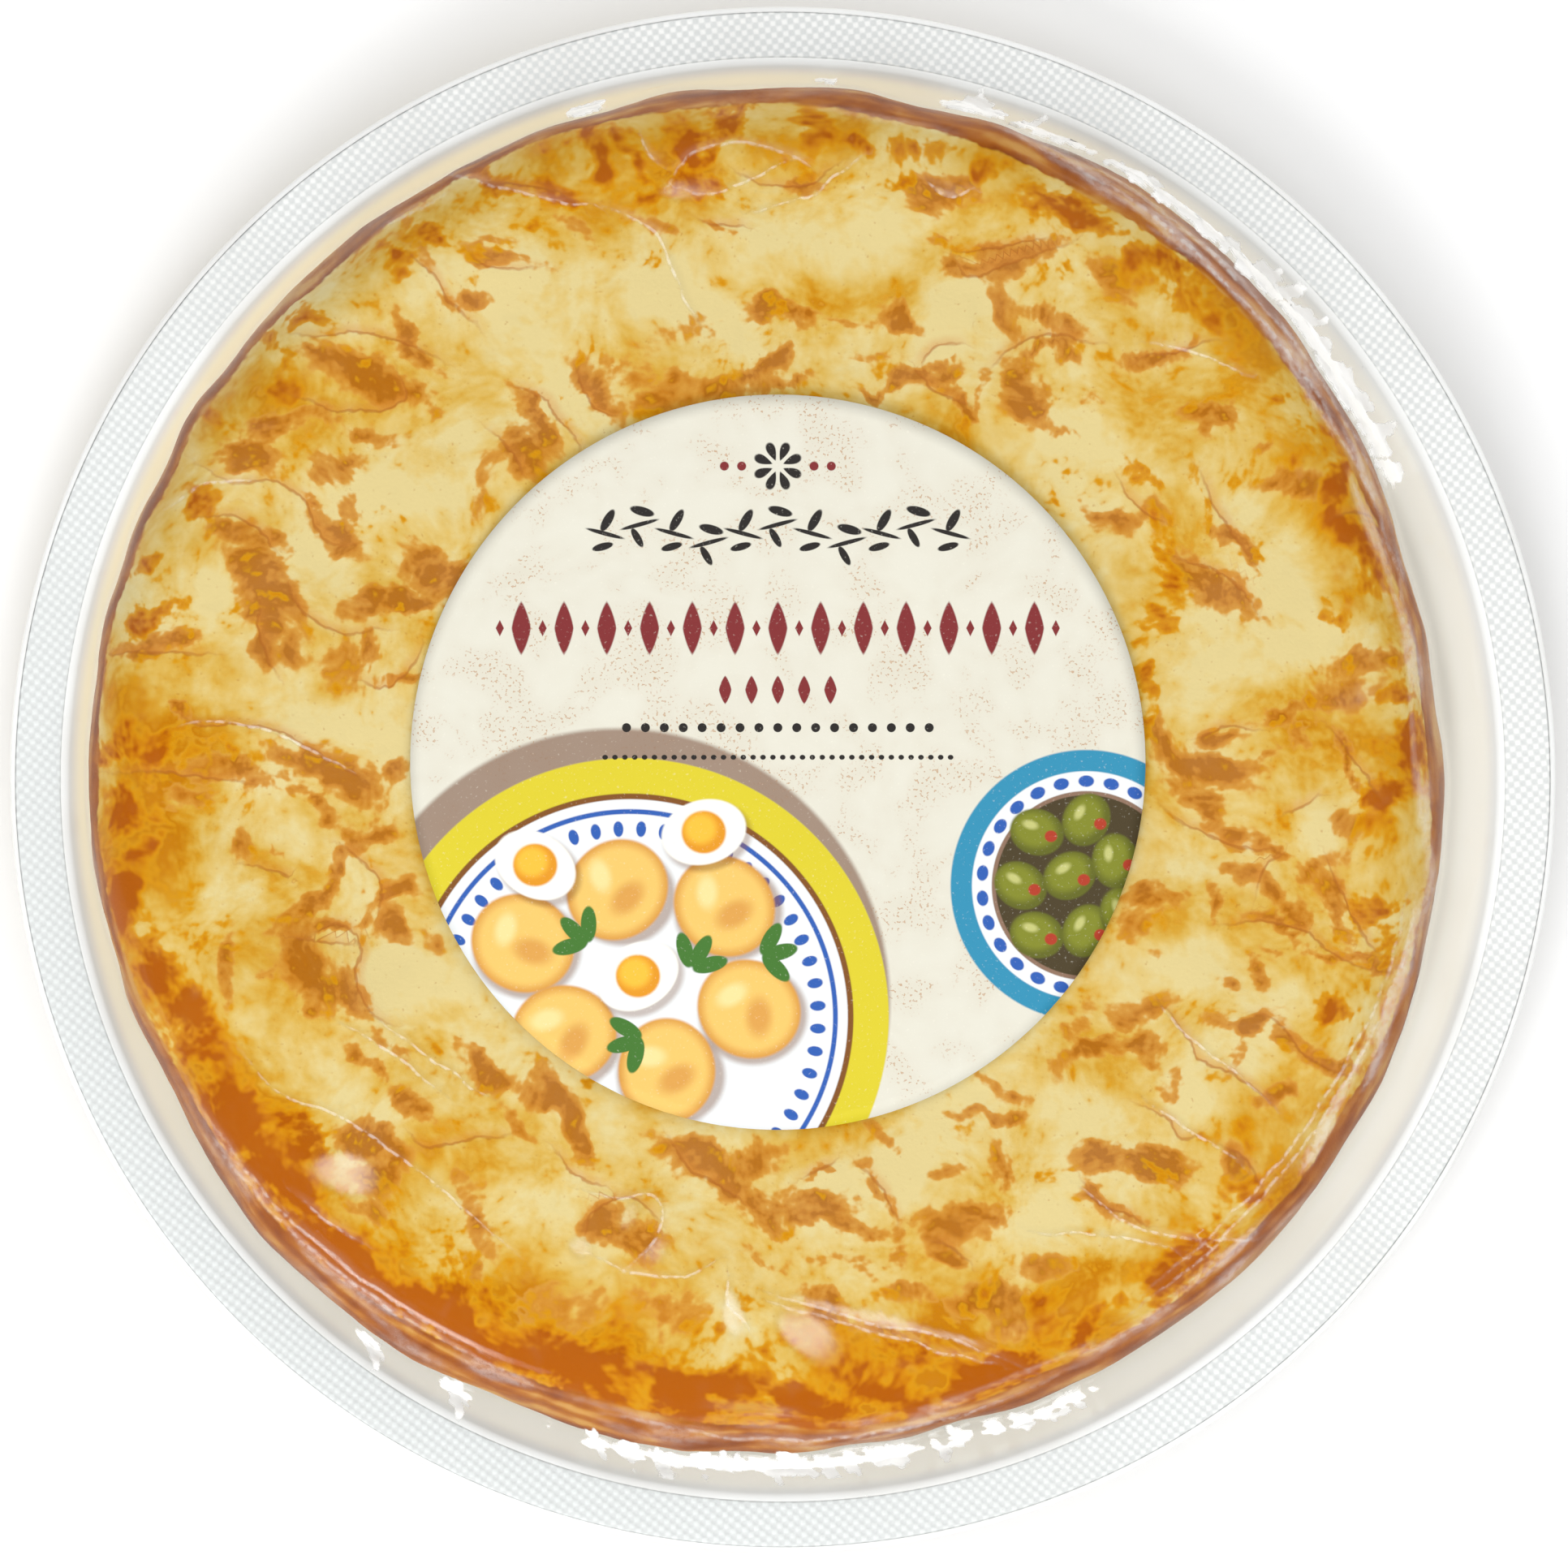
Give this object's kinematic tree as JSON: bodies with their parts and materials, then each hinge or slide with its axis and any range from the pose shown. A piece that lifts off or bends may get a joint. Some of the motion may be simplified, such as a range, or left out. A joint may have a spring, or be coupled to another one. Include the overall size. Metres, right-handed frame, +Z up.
{
  "type": "packed spanish omelette",
  "caption": "Round potato omelette sealed in a shallow white plastic tray under a clear film that follows its top and side, with a round paper label lying on the film.",
  "frame": {"origin": "under the centre of the tray, on the surface that it stands on", "axes": "+Z up through the tray's centre; +Y towards the top of the label and +X to its right, as a reader of the label sees it"},
  "size_m": [0.19, 0.19, 0.0274],
  "materials": {
    "tray_plastic": "thin formed white plastic, slightly milky, with a fine diamond emboss on the sealed flange",
    "browned_egg": null,
    "clear_film": "clear glossy plastic film with soft wrinkles and folds",
    "label_paper": "smooth coated cream paper with printed fields of colour"
  },
  "bodies": {
    "root": {"tray": "tray_plastic", "omelette": "browned_egg", "film": "clear_film", "label": "label_paper"}
  },
  "joints": []
}
